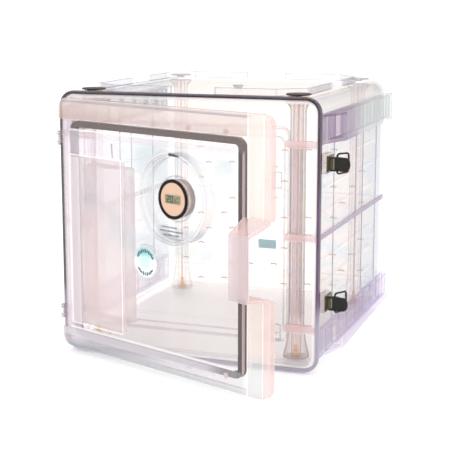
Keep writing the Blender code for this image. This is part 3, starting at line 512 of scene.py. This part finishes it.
TURNED = (1.0, 40.0, 1.0)
GRAINED_LOOKS = {
    "rod": dict(name="rod_pale", scale=90.0, dark=(0.86, 0.78, 0.74), light=(0.96, 0.90, 0.87), Roughness=0.3),
    "rubber": dict(
        name="foot_rubber", scale=500.0, dark=(0.015, 0.013, 0.014), light=(0.04, 0.035, 0.04), bump=(0.2, 0.0002),
        Roughness=0.6),
    "brass": dict(
        name="brass_turned", scale=60.0, dark=(0.75, 0.50, 0.22), light=(0.86, 0.62, 0.30), stretch=TURNED,
        bump=(0.1, 0.0001), Metallic=1.0, Roughness=0.24),
    "dial": dict(
        name="dial_face", scale=900.0, dark=(0.68, 0.44, 0.31), light=(0.76, 0.51, 0.37), Metallic=0.1, Roughness=0.5),
    "black": dict(
        name="black_gloss", scale=300.0, dark=(0.004, 0.004, 0.004), light=(0.012, 0.012, 0.012), Roughness=0.5,
        Specular_IOR_Level=0.15),
    "display": dict(
        name="display_glass", scale=200.0, dark=(0.22, 0.22, 0.11), light=(0.30, 0.30, 0.16), Roughness=0.18),
    "black_metal": dict(
        name="black_metal", scale=400.0, dark=(0.008, 0.008, 0.007), light=(0.03, 0.03, 0.022), detail=3.0,
        bump=(0.15, 0.0001), Metallic=0.6, Roughness=0.38),
    "olive_metal": dict(
        name="olive_metal", scale=300.0, dark=(0.03, 0.027, 0.012), light=(0.15, 0.14, 0.065), detail=3.0,
        Metallic=0.6, Roughness=0.4),
    "steel": dict(
        name="bright_steel", scale=200.0, dark=(0.52, 0.52, 0.53), light=(0.72, 0.72, 0.72), Metallic=1.0,
        Roughness=0.25),
    "ink": dict(name="dark_print", scale=400.0, dark=(0.02, 0.03, 0.03), light=(0.05, 0.06, 0.06), Roughness=0.5),
    "brown": dict(name="brown_refraction_marks", scale=300.0, dark=(0.34, 0.22, 0.17), light=(0.56, 0.42, 0.36), Roughness=0.5),
    "label": dict(name="blue_label", scale=60.0, dark=(0.36, 0.52, 0.56), light=(0.46, 0.62, 0.65), Roughness=0.5),
    "spot": dict(name="mint_spot", scale=150.0, dark=(0.50, 0.86, 0.80), light=(0.72, 0.95, 0.91), Roughness=0.5),
    "pip": dict(name="pink_pip", scale=200.0, dark=(0.95, 0.72, 0.68), light=(1.0, 0.90, 0.88), Roughness=0.2),
}


def gasket_rubber():
    """Taupe rubber, with painted shade darkening its right run and a painted pink highlight on that run's outer side.
    """
    tree = Tree("gasket_rubber")
    x, y, z = tree.closed()
    grain = tree.noise(600.0)
    tone = tree.blend(tree.ramp(grain, 0.3, 0.7), (0.095, 0.072, 0.066), (0.135, 0.105, 0.098))
    below_corner = tree.ramp(z, 0.262, 0.255)
    # Painted shade: the right run much darker than the same rubber elsewhere
    right = tree.both(tree.ramp(x, 0.120, 0.1235), below_corner)
    tone = tree.blend(right, tone, (0.028, 0.018, 0.016))
    # A painted pink highlight on the right run's outer side
    outer_side_highlight = tree.both(tree.ramp(x, 0.1286, 0.1292), tree.ramp(y, -0.0058, -0.0066))
    tone = tree.blend(tree.both(outer_side_highlight, below_corner), tone, (0.46, 0.33, 0.32))
    tree.set(Base_Color=tone, Roughness=0.42)
    tree.bump(grain, 0.2, 0.0002)
    return tree.material


def copper_turned():
    """The meter's barrel: dark turned copper with a painted highlight ring."""
    tree = Tree("copper_turned")
    _, y, _ = tree.closed()
    rings = tree.noise(60.0, 2.0, TURNED)
    tone = tree.blend(rings, (0.10, 0.045, 0.025), (0.26, 0.14, 0.085))
    # A painted highlight: the bright ring part way along the barrel
    tone = tree.blend(tree.band(y, -0.0065, -0.0025, 0.0008), tone, (0.80, 0.54, 0.34))
    tree.set(Base_Color=tone, Metallic=0.8, Roughness=0.24)
    tree.bump(rings, 0.1, 0.0001)
    return tree.material


def humidity_card():
    """Pale paper, teal across its upper part."""
    tree = Tree("humidity_card")
    top = tree.ramp(tree.axes()[2], 0.131, 0.140)
    paper = tree.blend(top, (0.80, 0.93, 0.90), (0.30, 0.62, 0.66))
    flecks = tree.ramp(tree.noise(120.0), 0.3, 0.7, 0.0, 0.15)
    tree.set(Base_Color=tree.blend(flecks, paper, (1.0, 1.0, 1.0)), Roughness=0.5)
    return tree.material


SPECIAL_LOOKS = {"gasket": gasket_rubber, "copper": copper_turned, "card": humidity_card}
MATERIALS = {}


def material_for(kind):
    """The material of that kind, made on its first use."""
    if kind not in MATERIALS:
        if kind in CLEAR_LOOKS:
            MATERIALS[kind] = clear(**CLEAR_LOOKS[kind])
        elif kind in GRAINED_LOOKS:
            MATERIALS[kind] = grained(**GRAINED_LOOKS[kind])
        else:
            MATERIALS[kind] = SPECIAL_LOOKS[kind]()
    return MATERIALS[kind]


# How each CAD node's name starts, and its kind of material; the first match counts
NODE_KINDS = (
    ("cabinet_tub", "tub"), ("front_frame", "frame"), ("side_rail_lower", "rail_low"), ("side_rail", "rail"),
    ("side_rib_left", "post_faint"), ("side_rib", "rib"), ("corner_post_front_right", "post"),
    ("corner_post", "post_faint"), ("tie_rod", "rod"), ("top_pad_back", "foot"), ("top_pad", "rubber"),
    ("foot_", "foot"), ("stack_fence", "trim"), ("port_plug", "foot"), ("shelf_", "shelf"),
    ("door_panel", "door"), ("door_gasket", "gasket"), ("door_pocket", "pocket"), ("instrument_plug", "plug"),
    ("hygrometer_barrel", "copper"), ("hygrometer_bezel", "black"), ("hygrometer_face", "dial"),
    ("hygrometer_display", "display"), ("hygrometer_locknut", "trim"), ("humidity_card_ring", "plug"),
    ("humidity_card", "card"), ("latch_keeper", "trim"), ("hinge_bracket", "trim"), ("hinge_pin", "steel"),
    ("latch_boss", "post_faint"), ("latch_base", "olive_metal"), ("latch_pivot_pin", "steel"),
    ("latch_lever", "black_metal"), ("latch_bail", "black_metal"),
)


def dress_nodes():
    for name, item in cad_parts.items():
        kind = next(kind for start, kind in NODE_KINDS if name.startswith(start))
        for place in item.material_slots:
            place.material = material_for(kind)


# ---------------------------------------------------------------- detail pieces, in millimetres

def at_door(x, y, z):
    """A point given with the door shut, where it is with the door ajar."""
    point = Vector((x * MM - HINGE_X, y * MM - HINGE_Y, 0.0))
    point.rotate(Matrix.Rotation(DOOR_TURN, 3, "Z"))
    return HINGE + point + Vector((0.0, 0.0, z * MM))


def at_frame(x, y, z):
    return ORIGIN + Vector((x, y, z)) * MM


def add_hull(shape, loops):
    """A closed solid through loops of points with the same count."""
    rows = [[shape.verts.new(point) for point in loop] for loop in loops]
    for low, high in zip(rows, rows[1:]):
        for i in range(len(low)):
            j = (i + 1) % len(low)
            shape.faces.new((low[i], low[j], high[j], high[i]))
    shape.faces.new(rows[0][::-1])
    shape.faces.new(rows[-1])


def bar(shape, place, x0, x1, y0, y1, z0, z1, lean=0.0):
    """A flat bar; lean shifts its upper end along x."""
    loops = []
    for y in (y0, y1):
        loops.append([place(x, y, z) for x, z in ((x0, z0), (x1, z0), (x1 + lean, z1), (x0 + lean, z1))])
    add_hull(shape, loops)


def circle(radius, sides):
    """Points around a circle, as pairs."""
    return [(radius * math.cos(2 * math.pi * i / sides), radius * math.sin(2 * math.pi * i / sides))
            for i in range(sides)]


def dome(shape, place, x, z, rings, sides=12):
    """A small round boss; rings are (radius, y) along the y axis."""
    add_hull(shape, [[place(x + u, y, z + v) for u, v in circle(radius, sides)] for radius, y in rings])


def washer(shape, place, x, y, rings, sides):
    """An upright round solid; rings are (radius, z)."""
    add_hull(shape, [[place(x + u, y + v, z) for u, v in circle(radius, sides)] for radius, z in rings])


def piece(name, shape, kind, body, smooth=False):
    bmesh.ops.recalc_face_normals(shape, faces=shape.faces)
    mesh = bpy.data.meshes.new(name)
    shape.to_mesh(mesh)
    shape.free()
    if smooth:
        mesh.shade_smooth()
        mesh.set_sharp_from_angle(angle=math.radians(40))
    item = bpy.data.objects.new(name, mesh)
    bpy.context.scene.collection.objects.link(item)
    mesh.materials.append(material_for(kind))
    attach(item, body)
    return item


# The middle of the meter's face and of the humidity card, and where their faces stand
DIAL_X, DIAL_Z, DIAL_FRONT = 32.4, 201.0, -10.12
CARD_X, CARD_Z, CARD_FRONT = -2.0, 129.8, -17.12
MARK_RADIUS = 12.6
# Which of a display digit's seven segments are dark
SEGMENTS = {"2": "abged", "0": "abcdef", "5": "afgcd"}
DIGIT_SPAN = (DIAL_FRONT - 0.08, DIAL_FRONT + 0.02)
# Rows of dashes under the meter, on the plug's web: height, start and end from the meter's middle
WEB_SPAN = (-8.75, -8.61)
DASH_ROWS = ((-31.2, -17.5, 4.5), (-35.4, -20.0, 13.5), (-39.6, -15.0, 8.5))
# The space behind the door's skin where its small dark clips are
CLIP_SPAN = (-8.9, -8.3)
POST_X = 122.5
POST_Y = {"front": 25, "back": 290}
NUT_RINGS = ((5.3, 12.4), (5.3, 14.6), (3.4, 15.2), (3.4, 19.5), (2.2, 20.4), (2.2, 26.0))
PAD_RINGS = ((11.2, 303.4), (11.2, 304.8), (10.4, 305.2))
PIP_RINGS = ((3.4, -8.98), (2.6, -7.6), (1.3, -6.2), (0.5, -5.9))
BACK_WALL = 312.3


def digit(shape, mark, left, low, width, height):
    """One seven-segment digit on the display, placed from the meter's middle."""
    thick = width * 0.28
    left, low = DIAL_X + left, DIAL_Z + low
    middle, top, right = low + height / 2, low + height, left + width
    bars = {
        "a": (left, right, top - thick, top), "d": (left, right, low, low + thick),
        "g": (left, right, middle - thick / 2, middle + thick / 2), "f": (left, left + thick, middle, top),
        "b": (right - thick, right, middle, top), "e": (left, left + thick, low, middle),
        "c": (right - thick, right, low, middle)}
    for key in SEGMENTS[mark]:
        x0, x1, z0, z1 = bars[key]
        bar(shape, at_door, x0, x1, *DIGIT_SPAN, z0, z1)


def make_display():
    """Two large digits, a small one, and two short bars beside it."""
    shape = bmesh.new()
    digit(shape, "2", -8.2, -3.6, 4.2, 7.2)
    digit(shape, "0", -2.8, -3.6, 4.2, 7.2)
    digit(shape, "5", 3.2, -3.4, 2.4, 4.0)
    for low in (-2.8, 1.4):
        bar(shape, at_door, DIAL_X + 6.2, DIAL_X + 9.4, *DIGIT_SPAN, DIAL_Z + low, DIAL_Z + low + 0.8)
    piece("display_digits", shape, "ink", "door")


def make_dashes():
    """Rows of plain dashes that stand in for print."""
    shape = bmesh.new()
    gap, tall, lean = 1.2, 1.5, 0.2
    for row, (low, start, end) in enumerate(DASH_ROWS):
        x = start
        count = 0
        while x < end:
            long = 1.3 + 0.9 * ((count * 7 + row * 3) % 4) / 3
            x1 = DIAL_X + min(x + long, end)
            bar(shape, at_door, DIAL_X + x, x1, *WEB_SPAN, DIAL_Z + low, DIAL_Z + low + tall, lean)
            x += long + gap
            count += 1
    piece("plug_dashes", shape, "ink", "door")


def make_card_marks():
    """Arcs of plain ticks at the card's top and bottom, and the spot in its middle."""
    shape = bmesh.new()
    for centre, spread, count in ((90, 62, 11), (270, 52, 9)):
        for i in range(count):
            angle = math.radians(centre - spread + 2 * spread * i / (count - 1))
            x, z = CARD_X + MARK_RADIUS * math.cos(angle), CARD_Z + MARK_RADIUS * math.sin(angle)
            wide, tall = 0.8, 1.5 + 0.6 * (i % 2)
            bar(shape, at_door, x - wide, x + wide, CARD_FRONT - 0.1, CARD_FRONT + 0.01, z - tall, z + tall,
                0.8 * math.cos(angle))
    piece("card_marks", shape, "ink", "door")
    shape = bmesh.new()
    rings = ((6.9, CARD_FRONT + 0.01), (6.9, CARD_FRONT - 0.15), (6.5, CARD_FRONT - 0.25))
    dome(shape, at_door, CARD_X, CARD_Z, rings, 28)
    piece("card_spot", shape, "spot", "door", True)


def make_pips():
    """Small pips along the door's upper and lower strips."""
    for row, z in (("top", 277.5), ("bottom", 25.0)):
        for index, x in enumerate((-101, -48, 4, 55, 107)):
            shape = bmesh.new()
            dome(shape, at_door, x, z, PIP_RINGS)
            piece(f"door_pip_{row}_{index + 1}", shape, "pip", "door", True)


def make_post_trims():
    """A brass nut at the foot of each post, and a washer under each front pad."""
    for row, y in POST_Y.items():
        for side, x in (("left", -POST_X), ("right", POST_X)):
            shape = bmesh.new()
            washer(shape, at_frame, x, y, NUT_RINGS, 16)
            piece(f"post_nut_{row}_{side}", shape, "brass", "cabinet", True)
            if row == "back":
                continue
            shape = bmesh.new()
            washer(shape, at_frame, x, y, PAD_RINGS, 24)
            piece(f"pad_washer_{row}_{side}", shape, "brass", "cabinet", True)


def make_wall_marks():
    """Short brown marks standing in for the ledges' refracted images, and a small label, on the inside of the
    back wall; no mark is near the label.
    """
    shape = bmesh.new()
    # Brown marks painted where the ledges show through the back wall by refraction
    for row in range(9):
        for column in range(9):
            x = -138 + 31 * column + 12 * (row % 2) + 1.6 * ((column * 7 + row * 5) % 5 - 2)
            z = 20 + 23 * row + 2.0 * ((column * 5 + row * 3) % 4)
            left_out = (column * 3 + row * 5) % 4 == 0
            near_label = -42 < x < 12 and 58 < z < 92
            if left_out or near_label or x > 128:
                continue
            for step in range(3):
                left, low = x + 3.1 * step, z + 0.8 * (step % 2)
                bar(shape, at_frame, left, left + 2.5, BACK_WALL - 0.7, BACK_WALL, low, low + 1.5, 0.3)
    piece("back_wall_marks", shape, "brown", "cabinet")
    shape = bmesh.new()
    bar(shape, at_frame, -18, 7, BACK_WALL - 0.9, BACK_WALL, 71, 83)
    piece("back_wall_label", shape, "label", "cabinet")


def make_clips():
    """Two small dark clips high on the door's left, behind its skin."""
    shape = bmesh.new()
    for x0, x1, z0, z1 in ((-130.5, -128.3, 248, 254.5), (-130.5, -123.5, 247, 249.2)):
        bar(shape, at_door, x0, x1, *CLIP_SPAN, z0, z1)
    piece("door_clip_left", shape, "ink", "door")
    shape = bmesh.new()
    bar(shape, at_door, -61.5, -60.2, *CLIP_SPAN, 236, 252, -1.0)
    piece("door_clip_right", shape, "ink", "door")


# ---------------------------------------------------------------- stage

CAMERA_PLACE = Vector((0.4990, -1.2409, 0.4104))
CAMERA_AIM = Vector((-0.33656, 0.92331, -0.18499))
CAMERA_LENS = 97.4
FLOOR_REACH = 14.0
WORLD_STRENGTH = 1.06
LIGHT_POWER = 9.0
LIGHT_TARGET = Vector((0.0, 0.0, 0.15))
# Each soft light's name, place and size
LIGHTS = (
    ("key_light", Vector((-0.9, -1.5, 2.0)), 1.4),
    ("top_light", Vector((0.6, 0.9, 2.2)), 1.6),
)


def turn_along(direction):
    """The turn of a camera or light that looks along direction."""
    return direction.to_track_quat("-Z", "Y").to_euler()


def make_camera(scene):
    camera = bpy.data.objects.new("camera", bpy.data.cameras.new("camera"))
    scene.collection.objects.link(camera)
    camera.location = ORIGIN + CAMERA_PLACE
    camera.rotation_euler = turn_along(CAMERA_AIM)
    camera.data.lens = CAMERA_LENS
    camera.data.sensor_width = 36.0
    camera.data.clip_start = 0.01
    camera.data.clip_end = 60.0
    scene.camera = camera


def make_floor(scene):
    mesh = bpy.data.meshes.new("floor")
    corners = [(x * FLOOR_REACH, y * FLOOR_REACH, 0) for x, y in ((-1, -1), (1, -1), (1, 1), (-1, 1))]
    mesh.from_pydata(corners, [], [(0, 1, 2, 3)])
    floor = bpy.data.objects.new("floor", mesh)
    scene.collection.objects.link(floor)
    tree = Tree("floor")
    tree.set(Base_Color=(0.95, 0.965, 0.98), Roughness=0.9, Emission_Color=(1.0, 1.0, 1.0), Emission_Strength=0.18,
             Specular_IOR_Level=0.1)
    mesh.materials.append(tree.material)


def make_stage():
    scene = bpy.context.scene
    scene.view_settings.view_transform = "Standard"
    # A line of sight crosses many clear walls
    scene.cycles.transparent_max_bounces = 64
    scene.cycles.max_bounces = 10
    make_camera(scene)
    make_floor(scene)
    world = bpy.data.worlds.new("studio")
    world.use_nodes = True
    background = world.node_tree.nodes["Background"]
    background.inputs[0].default_value = (1.0, 1.0, 1.0, 1.0)
    background.inputs[1].default_value = WORLD_STRENGTH
    scene.world = world
    for name, place, size in LIGHTS:
        light = bpy.data.lights.new(name, "AREA")
        light.size = size
        light.energy = LIGHT_POWER
        item = bpy.data.objects.new(name, light)
        item.location = place
        item.rotation_euler = turn_along(LIGHT_TARGET - place)
        scene.collection.objects.link(item)


dress_nodes()
make_display()
make_dashes()
make_card_marks()
make_pips()
make_post_trims()
make_wall_marks()
make_clips()
make_stage()
